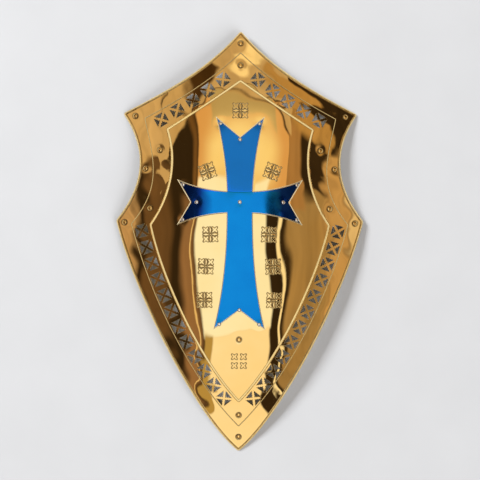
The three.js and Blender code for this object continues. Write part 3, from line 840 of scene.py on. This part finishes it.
def stamp_depth(u, v, arms):
    """How far inside the punch's outline a place is: four small crosses in a square, pointed
    arms between them and a boss."""
    a, b = np.abs(u), np.abs(v)
    p, q = a - SMALL_PLACE, b - SMALL_PLACE
    small = SMALL_REACH - SMALL_SWING * np.cos(4 * np.arctan2(q, p)) - np.hypot(p, q)
    along, off = np.maximum(a, b), np.minimum(a, b)
    reach = np.clip((along - ARM_START) / ARM_LENGTH, 0, 1)
    arm = ARM_HALF * np.sin(math.pi * reach) ** 0.8 - off - ARM_TRIM - np.clip(along - ARM_END, 0, None)
    boss = BOSS_RADIUS - np.hypot(u, v)
    return np.maximum.reduce([small, arm, boss]) if arms else small


def struck(x, y, shape):
    """Adds up a function of the depth inside the outline over all the struck crosses."""
    total = np.zeros_like(x)
    for cx, cy, turn, arms in STAMPS:
        near = (np.abs(x - cx) < STAMP_HALF + 1) & (np.abs(y - cy) < STAMP_HALF + 1)
        u, v = x[near] - cx, y[near] - cy
        c, s = math.cos(math.radians(turn)), math.sin(math.radians(turn))
        total[near] = shape(stamp_depth(c * u + s * v, c * v - s * u, arms))
    return total


def raised_face(depth):
    rise = np.clip((depth + STAMP_WALL) / (2 * STAMP_WALL), 0, 1)
    return STAMP_RISE * rise * rise * (3 - 2 * rise) + FACE_CROWN * np.clip(depth, 0, FACE_REACH)


def panel_relief(x, y):
    return struck(x, y, raised_face)


# Painted shade: a dark line round the foot of each struck cross and a ring round the rivet
def panel_painted_shade(x, y):
    outline = struck(x, y, lambda depth: np.exp(-((depth + STAMP_SHADE_OUT) / STAMP_SHADE_WIDTH) ** 2))
    return outline + painted_shade_rings(PANEL_SPOTS)(x, y)


def refine_panel(points):
    """Fine points under the struck crosses and round the rivet instead of the coarse ones."""
    points, rings = refine_rings(points, PANEL_SPOTS)
    fine_points = [rings]
    ticks = np.arange(-STAMP_HALF, STAMP_HALF, STAMP_LATTICE)
    u, v = np.meshgrid(ticks, ticks)
    u = u + (np.arange(len(ticks)) % 2)[:, None] * STAMP_LATTICE / 2
    for cx, cy, *_ in STAMPS:
        off = np.abs(points - np.array([cx, cy])).max(1)
        points = points[off > STAMP_HALF + 0.5]
        fine_points.append(np.stack([u.ravel() + cx, v.ravel() + cy], 1))
    return points, np.concatenate(fine_points)


panel_mesh = formed_sheet(
    "centre_panel_sheet", [(contour_loop(PANEL), PANEL_PROFILE)], panel_roll, panel_relief, refine_panel,
    panel_painted_shade)
show("centre_panel_sheet", panel_mesh, gilt, ["centre_panel"])

# ------------------------------------------------------------------ cross
# One sheet sawn to a cross with four swallow-tailed arms, lacquered in clear blue over the
# bright metal. The cut edge is left bare, and the bar's upper edge is scored across the
# upright.

CROSS_CENTRE = 61
HALF_WIDTH = 20.5
HALF_BAR = 17.3
# length, half the width at the points, depth of the notch, rise and reach of the curve's handle
ARMS = {"top": (133.5, 38, 32, 2, 74), "side": (97.5, 35.5, 21, 2.2, 62), "bottom": (198, 40.5, 31, 0, 121)}
CROSS_BOTTOM = PANEL_TOP + 0.3
CROSS_TOP = CROSS_BOTTOM + SHEET
# The last number is 1 where the cut edge is left bare
CROSS_PROFILE = [
    *lifted(CROSS_BOTTOM, [
        (0.3, 0.0, 1.0), (0.0, 0.15, 1.0), (0.0, 0.3, 1.0), (0.15, 0.42, 1.0), (1.05, 1.08, 1.0),
    ]),
    *lifted(CROSS_TOP, [(1.35, -0.02, 1.0), (1.8, 0.0, 0.3), (2.2, 0.0)]),
]
SCORE_SAG = 1.4
SCORE_DEPTH = 0.22
SCORE_HALF_WIDTH = 0.45
SCORE_LATTICE = 0.5
SCORE_CLEARANCE = 3.4
SCORE_DROP = 0.2
SCORE_STOP = 0.4
SCORE_SPAN = (-HALF_WIDTH + 1.6, HALF_WIDTH - 1.5)
SCORE_REACH = 2.0
# Where the painted shade that makes the side arms' ends navy begins and ends, and how far noise moves it
PAINTED_DARK_ENDS = (0.047, 0.066)
UPPER_LACQUER = (0.0765, 0.0780)
DARK_ENDS_DRIFT = 0.008


def quadratic(p0, p1, p2, count=41):
    t = np.linspace(0, 1, count)[:, None]
    return (1 - t) ** 2 * p0 + 2 * t * (1 - t) * p1 + t * t * p2


def cross_loop():
    """The cross anticlockwise, starting at the right arm's lower edge."""
    order = [("side", HALF_WIDTH, HALF_BAR), ("top", HALF_BAR, HALF_WIDTH),
             ("side", HALF_WIDTH, HALF_BAR), ("bottom", HALF_BAR, HALF_WIDTH)]
    edges, rounding = [], []
    for quarter, (arm, root_along, root_half) in enumerate(order):
        length, tip_half, notch, rise, reach = ARMS[arm]
        root, handle = np.array([root_along, root_half]), np.array([reach, root_half + rise])
        flare = quadratic(root, handle, np.array([length, tip_half]))
        tail = np.array([[length, tip_half], [length - notch, 0]])
        below = flare * np.array([1, -1])
        turn = rotation(quarter * math.pi / 2)
        for edge in (below, tail * np.array([1, -1]), tail[::-1], flare[::-1]):
            edges.append(edge @ turn.T + np.array([0, CROSS_CENTRE]))
        rounding += [0.5, 0.7, 0.5, 0.7]
    return {"edges": edges, "rounding": rounding, "step": 3.5, "corner_steps": 3}


def score_line(x):
    return CROSS_CENTRE + HALF_BAR - SCORE_DROP - SCORE_SAG * (1 - (x / HALF_WIDTH) ** 2)


def cross_relief(x, y):
    across = (y - score_line(x)) / SCORE_HALF_WIDTH
    return -SCORE_DEPTH * np.exp(-across ** 2) * (np.abs(x) < HALF_WIDTH - SCORE_STOP)


def refine_score(points):
    """Fine points along the scored line instead of the coarse ones."""
    x, y = points.T
    points = points[(np.abs(y - score_line(x)) > SCORE_CLEARANCE) | (np.abs(x) > HALF_WIDTH)]
    across = np.arange(*SCORE_SPAN, 1.0)
    strips = [
        np.stack([across, score_line(across) + offset], 1)
        for offset in np.arange(-SCORE_REACH, SCORE_REACH + 0.01, SCORE_LATTICE)
    ]
    return points, np.concatenate(strips)


# Clear blue lacquer over bright metal: a clean blue, a more violet one above the scored line,
# almost navy towards the ends of the side arms as painted shade, with bare brass on the
# cut edge
lacquer, tree, shader = new_material("clear blue lacquer on bright brass")
where = add(tree, "ShaderNodeTexCoord").outputs["Object"]
depth = spread(tree, noise(tree, where, 45, 3), 0, 1)
blue = add(tree, "ShaderNodeMixRGB", {
    "Fac": depth, "Color1": hex_colour("#0c82ca"), "Color2": hex_colour("#0a7ac4"),
})
place = add(tree, "ShaderNodeSeparateXYZ", {"Vector": where}).outputs
upper = spread(tree, place["Y"], 0, 1, *UPPER_LACQUER)
blue = add(tree, "ShaderNodeMixRGB", {
    "Fac": upper, "Color1": blue.outputs[0], "Color2": hex_colour("#1973e2"),
})
from_middle = add(tree, "ShaderNodeMath", {0: place["X"]}, operation="ABSOLUTE").outputs[0]
uneven = add(tree, "ShaderNodeMath", {
    0: depth, 1: DARK_ENDS_DRIFT, 2: from_middle,
}, operation="MULTIPLY_ADD").outputs[0]
# Painted shade: navy towards the ends of the side arms
painted_dark_ends = spread(tree, uneven, 0, 1, *PAINTED_DARK_ENDS)
blue = add(tree, "ShaderNodeMixRGB", {
    "Fac": painted_dark_ends, "Color1": blue.outputs[0], "Color2": hex_colour("#062c70"),
})
edge_mark = add(tree, "ShaderNodeAttribute", attribute_name="edge_mark").outputs["Fac"]
chipping = spread(tree, noise(tree, where, 1.6, 3, 0.6), -0.16, 0.16)
bare = add(tree, "ShaderNodeMath", {0: edge_mark, 1: chipping}, operation="ADD")
bare_mask = spread(tree, bare.outputs[0], 0, 1, 0.50, 0.62)
surface_colour = add(tree, "ShaderNodeMixRGB", {
    "Fac": bare_mask, "Color1": blue.outputs[0], "Color2": hex_colour("#f4e2b8"),
})
smears = noise(tree, where, 24, 4, 0.6)
orange_peel = add(tree, "ShaderNodeBump", {
    "Height": noise(tree, where, 7, 3, 0.5), "Strength": 1.0, "Distance": 0.000012,
})
feed(tree, shader, {
    "Base Color": surface_colour.outputs[0], "Metallic": 0.94,
    "Roughness": spread(tree, smears, 0.05, 0.12), "Normal": orange_peel.outputs[0],
})

cross_mesh = formed_sheet(
    "cross_sheet", [(cross_loop(), CROSS_PROFILE)], panel_roll, cross_relief, refine_score)
show("cross_sheet", cross_mesh, lacquer, ["cross"])

# ------------------------------------------------------------------ grip
# A strip of thicker brass behind the shield, held by two rivets and bowed away from the
# sheet so that four fingers pass behind it. Its edges are filed round and it has a satin
# finish.

GRIP_WIDTH = 24
GRIP_THICKNESS = 2.5
GRIP_TOP_RIVET = CROSS_CENTRE
GRIP_LOW_RIVET = -151
GRIP_PAD = 13
GRIP_RAMP = 40
GRIP_MIDDLE = 6.5
GRIP_GAP = 0.9
GRIP_STATIONS = 150
GRIP_EDGE = 0.7
END_FLAT = 0.02


def grip_line(y):
    """Height of the grip's middle layer."""
    nearest = np.minimum(GRIP_TOP_RIVET - GRIP_PAD - y, y - GRIP_LOW_RIVET - GRIP_PAD)
    share = np.clip(nearest / GRIP_RAMP, 0, 1)
    eased = share * share * (3 - 2 * share)
    pad = dome_height(0 * y, y, 0) - GRIP_GAP - GRIP_THICKNESS / 2
    return pad + (GRIP_MIDDLE + GRIP_THICKNESS / 2 - pad) * eased


def smooth_mesh(name, verts, faces):
    """A smooth-shaded mesh from places in millimetres."""
    mesh = bpy.data.meshes.new(name)
    mesh.from_pydata([(x / 1000, y / 1000, z / 1000) for x, y, z in verts], [], faces)
    mesh.shade_smooth()
    return mesh


def grip_mesh():
    """The strip swept along its line, each cross-section a rounded rectangle."""
    low_end, high_end = GRIP_LOW_RIVET - GRIP_PAD, GRIP_TOP_RIVET + GRIP_PAD
    share = (1 - np.cos(np.linspace(0, math.pi, GRIP_STATIONS))) / 2
    stations = low_end + END_FLAT + (high_end - low_end - 2 * END_FLAT) * share
    heights = grip_line(stations)
    tilt = np.gradient(heights, stations)
    half_thick = GRIP_THICKNESS / 2
    verts, rings = [], []
    for y, z, slope_here in zip(stations, heights, tilt):
        from_end = min(y - low_end, high_end - y)
        reach = GRIP_WIDTH / 2
        half = reach if from_end > reach else math.sqrt(max(reach ** 2 - (reach - from_end) ** 2, 0.01))
        edge = min(GRIP_EDGE, half * 0.6)
        inner, level = half - edge, half_thick - edge
        corners = [(inner, level), (-inner, level), (-inner, -level), (inner, -level)]
        section = []
        for quarter, (cx, cz) in enumerate(corners):
            for step in range(4):
                angle = math.radians(quarter * 90 + step * 30)
                section.append((cx + edge * math.cos(angle), cz + edge * math.sin(angle)))
        across = 1 / math.hypot(1, slope_here)
        rings.append(len(verts))
        verts += [(x, y - t * slope_here * across, z + t * across) for x, t in section]
    n = len(section)
    faces = [list(range(n)), list(range(rings[-1], rings[-1] + n))[::-1]]
    for a, b in zip(rings, rings[1:]):
        faces += [(a + i, b + i, b + (i + 1) % n, a + (i + 1) % n) for i in range(n)]
    mesh = smooth_mesh("grip_strip", verts, faces)
    mesh.set_sharp_from_angle(angle=math.radians(50))
    return mesh


# Satin brass: the gilding's colour but duller, brushed along the strip and darker in patches
satin, tree, shader = new_material("satin brass strip")
where = add(tree, "ShaderNodeTexCoord").outputs["Object"]
tarnish_and_painted_shade = spread(tree, noise(tree, where, 18, 4, 0.6), 0, 1)
tone = add(tree, "ShaderNodeMixRGB", {
    "Fac": tarnish_and_painted_shade, "Color1": hex_colour("#e9c67c"), "Color2": hex_colour("#c99f58"),
})
brushed = add(tree, "ShaderNodeMapping", {"Vector": where, "Scale": (1.0, 0.03, 1.0)})
grain = noise(tree, brushed.outputs[0], 0.9, 3, 0.6)
scratches = add(tree, "ShaderNodeBump", {"Height": grain, "Strength": 1.0, "Distance": 0.00002})
feed(tree, shader, {
    "Base Color": tone.outputs[0], "Metallic": 1.0,
    "Roughness": spread(tree, grain, 0.22, 0.38), "Normal": scratches.outputs[0],
})
show("grip_strip", grip_mesh(), satin, ["grip"])

# ------------------------------------------------------------------ rivets
# Round-headed rivets, closed by hand behind the sheets: gilt ones through the rim, the
# border and the panel, bright steel ones through the cross. No two sit quite alike.

GOLD_HEAD = (4.1, 2.1)
SILVER_HEAD = (3.0, 1.6)
HEAD_EDGE = 0.25
HEAD_SQUARENESS = 2.5
SHANK = 1.5
TAIL = (2.6, 0.8)
RIVET_SIDES = 28
# Half the distance over which the sheet's slope under a rivet is taken
SEAT_STEP = 0.05


def turned_mesh(name, profile, sides):
    """A solid of revolution about Z, from the bottom pole to the top pole, in millimetres. The
    third number in the profile is how dark painted shade makes it there."""
    verts = [(0, 0, profile[0][1])]
    for radius, height, _ in profile[1:-1]:
        verts += [
            (radius * math.cos(2 * math.pi * k / sides), radius * math.sin(2 * math.pi * k / sides), height)
            for k in range(sides)
        ]
    verts.append((0, 0, profile[-1][1]))
    faces = [(0, 1 + (k + 1) % sides, 1 + k) for k in range(sides)]
    for level in range(len(profile) - 3):
        a, b = 1 + level * sides, 1 + (level + 1) * sides
        faces += [(a + k, a + (k + 1) % sides, b + (k + 1) % sides, b + k) for k in range(sides)]
    last, top = 1 + (len(profile) - 3) * sides, len(verts) - 1
    faces += [(last + k, last + (k + 1) % sides, top) for k in range(sides)]
    mesh = smooth_mesh(name, verts, faces)
    ring_marks = [mark for _, _, mark in profile[1:-1] for _ in range(sides)]
    marks = [profile[0][2], *ring_marks, profile[-1][2]]
    mesh.attributes.new("edge_mark", "FLOAT", "POINT").data.foreach_set("value", marks)
    return mesh


def rivet_profile(head, head_lift, tail_lift):
    """Half section of a rivet: tail, shank and domed head with a small flat edge."""
    radius, height = head
    flat = 2 / HEAD_SQUARENESS
    # The third numbers paint shade as a dark ring under the head's edge and round the foot of its dome
    dome = [
        (radius * math.cos(a) ** flat, head_lift + HEAD_EDGE + (height - HEAD_EDGE) * math.sin(a) ** flat,
         max(0.0, 1.1 - 1.3 * a))
        for a in np.radians(np.arange(0, 90, 9)).tolist()
    ]
    return [
        (0, tail_lift - TAIL[1], 0.0), (TAIL[0] * 0.7, tail_lift - TAIL[1] * 0.8, 0.0),
        (TAIL[0], tail_lift - 0.1, 0.0), (TAIL[0], tail_lift, 0.0), (SHANK, tail_lift, 0.0),
        (SHANK, head_lift, 0.0), (radius, head_lift, 1.0), *dome, (0, head_lift + height, 0.0),
    ]


def rivet_tree():
    """Stands a copy of the rivet on every point, square to the sheet, turned and leaning a little."""
    made = bpy.data.node_groups.new("rivets on sheet", "GeometryNodeTree")
    for name, kind, direction in (
        ("Points", "NodeSocketGeometry", "INPUT"), ("Rivet", "NodeSocketObject", "INPUT"),
        ("Lean", "NodeSocketFloat", "INPUT"), ("Seed", "NodeSocketInt", "INPUT"),
        ("Material", "NodeSocketMaterial", "INPUT"), ("Rivets", "NodeSocketGeometry", "OUTPUT"),
    ):
        made.interface.new_socket(name, in_out=direction, socket_type=kind)
    given = add(made, "NodeGroupInput").outputs
    rivet = add(made, "GeometryNodeObjectInfo", {"Object": given["Rivet"]}).outputs["Geometry"]
    square = add(made, "GeometryNodeInputNamedAttribute", {"Name": "square"}, data_type="FLOAT_VECTOR")
    upright = add(made, "FunctionNodeAlignRotationToVector", {
        "Vector": square.outputs["Attribute"],
    }, axis="Z")
    low = add(made, "ShaderNodeCombineXYZ", {"Z": 0.0})
    high = add(made, "ShaderNodeCombineXYZ", {"X": given["Lean"], "Y": given["Lean"], "Z": WHOLE_TURN})
    odd = add(made, "FunctionNodeRandomValue", {
        "Min": low.outputs[0], "Max": high.outputs[0], "Seed": given["Seed"],
    }, data_type="FLOAT_VECTOR")
    own_turn = add(made, "FunctionNodeEulerToRotation", {"Euler": odd.outputs["Value"]})
    pose = add(made, "FunctionNodeRotateRotation", {
        "Rotation": upright.outputs[0], "Rotate By": own_turn.outputs[0],
    }, rotation_space="LOCAL")
    placed = add(made, "GeometryNodeInstanceOnPoints", {
        "Points": given["Points"], "Instance": rivet, "Rotation": pose.outputs[0],
    })
    real = add(made, "GeometryNodeRealizeInstances", {"Geometry": placed.outputs[0]})
    finished = add(made, "GeometryNodeSetMaterial", {
        "Geometry": real.outputs[0], "Material": given["Material"],
    })
    add(made, "NodeGroupOutput", {"Rivets": finished.outputs[0]})
    return made


rivets_on_sheet = rivet_tree()


def rivet_row(name, nodes, head, head_lift, tail_lift, roll, material, lean, seed):
    """One mesh of rivets in place of their CAD nodes."""
    rivet = turned_mesh(name + " template", rivet_profile(head, head_lift, tail_lift), RIVET_SIDES)
    template = bpy.data.objects.new(name + " template", rivet)
    bpy.context.scene.collection.objects.link(template)
    middle = (head_lift + tail_lift) / 2
    places, squares = [], []
    for x, y in rivet_spots(nodes):
        roll_x = float(roll(x + SEAT_STEP, y) - roll(x - SEAT_STEP, y)) / (2 * SEAT_STEP)
        roll_y = float(roll(x, y + SEAT_STEP) - roll(x, y - SEAT_STEP)) / (2 * SEAT_STEP)
        slope_x = -x / RADIUS_ACROSS + roll_x
        slope_y = -(y - CROWN_Y) / RADIUS_ALONG + roll_y
        seat = Vector((x, y, dome_height(x, y, 0) + float(roll(x, y))))
        places.append((seat + Vector((slope_x, slope_y, 0)) * middle) / 1000)
        squares.append(Vector((-slope_x, -slope_y, 1)).normalized())
    points = bpy.data.meshes.new(name + " points")
    points.from_pydata(places, [], [])
    attribute = points.attributes.new("square", "FLOAT_VECTOR", "POINT")
    attribute.data.foreach_set("vector", [part for square in squares for part in square])
    holder = bpy.data.objects.new(name + " points", points)
    bpy.context.scene.collection.objects.link(holder)
    modifier = holder.modifiers.new("rivets", "NODES")
    modifier.node_group = rivets_on_sheet
    values = {"Rivet": template, "Lean": lean, "Seed": seed, "Material": material}
    for item in rivets_on_sheet.interface.items_tree:
        if item.name in values:
            modifier[item.identifier] = values[item.name]
    bpy.context.view_layer.update()
    evaluated = holder.evaluated_get(bpy.context.evaluated_depsgraph_get())
    mesh = bpy.data.meshes.new_from_object(evaluated)
    mesh.name = name
    holder.modifiers.remove(modifier)
    bpy.data.objects.remove(holder)
    bpy.data.objects.remove(template)
    show(name, mesh, material, nodes)


def rivet_metal(name, colours, mottle, haze, haze_size, shade_colour, punch_size, punch_depth):
    """A polished metal with a soft mottle, a haze of wear, painted shade where edge_mark is set
    and the punch's marks. The sizes are in millimetres and the punch's depth is in metres."""
    material, tree, shader = new_material(name)
    where = add(tree, "ShaderNodeTexCoord").outputs["Object"]
    tone = add(tree, "ShaderNodeMixRGB", {
        "Fac": spread(tree, noise(tree, where, mottle, 3), 0, 1),
        "Color1": hex_colour(colours[0]), "Color2": hex_colour(colours[1]),
    })
    worn = spread(tree, noise(tree, where, haze_size, 3), *haze)
    colour, roughness = with_painted_shade(tree, where, tone.outputs[0], worn, shade_colour)
    punched = add(tree, "ShaderNodeBump", {
        "Height": noise(tree, where, punch_size, 2), "Strength": 1.0, "Distance": punch_depth,
    })
    feed(tree, shader, {
        "Base Color": colour, "Metallic": 1.0, "Roughness": roughness, "Normal": punched.outputs[0],
    })
    return material


# Polished gilt heads: warm gold, paler where they are rubbed, with soft marks of the punch
# and painted shade, dark brown, round the foot of the dome
gilt_head = rivet_metal(
    "gilt rivet, polished", ("#ffe09a", "#f0c476"), 3, (0.08, 0.18), 2, "#2a1808", 1.6, 0.00006)
# Bright steel heads: cold white metal with a fine haze and painted shade, near black, round
# the foot of the dome
steel_head = rivet_metal(
    "steel rivet, polished", ("#fbfcfd", "#e4e7eb"), 2.5, (0.06, 0.14), 1.8, "#1c1c20", 1.4, 0.00004)

BORDER_TOP = COVER_BOTTOM + SHEET
GRIP_TAIL = -GRIP_GAP - GRIP_THICKNESS
rivet_row("rim_rivets", RIM_RIVETS, GOLD_HEAD, BACK_TOP, 0,
          plate_roll, gilt_head, 0.05, 3)
rivet_row("border_rivets", BORDER_RIVETS, GOLD_HEAD, BORDER_TOP, 0,
          plate_roll, gilt_head, 0.05, 5)
rivet_row("middle_rivet", ["panel_rivet"], GOLD_HEAD, PANEL_TOP, GRIP_TAIL,
          panel_roll, gilt_head, 0.0, 6)
rivet_row("cross_rivets", CROSS_RIVETS[1:], SILVER_HEAD, CROSS_TOP, PANEL_TOP - SHEET,
          panel_roll, steel_head, 0.05, 8)
rivet_row("centre_rivet", CROSS_RIVETS[:1], SILVER_HEAD, CROSS_TOP, GRIP_TAIL,
          panel_roll, steel_head, 0.0, 9)
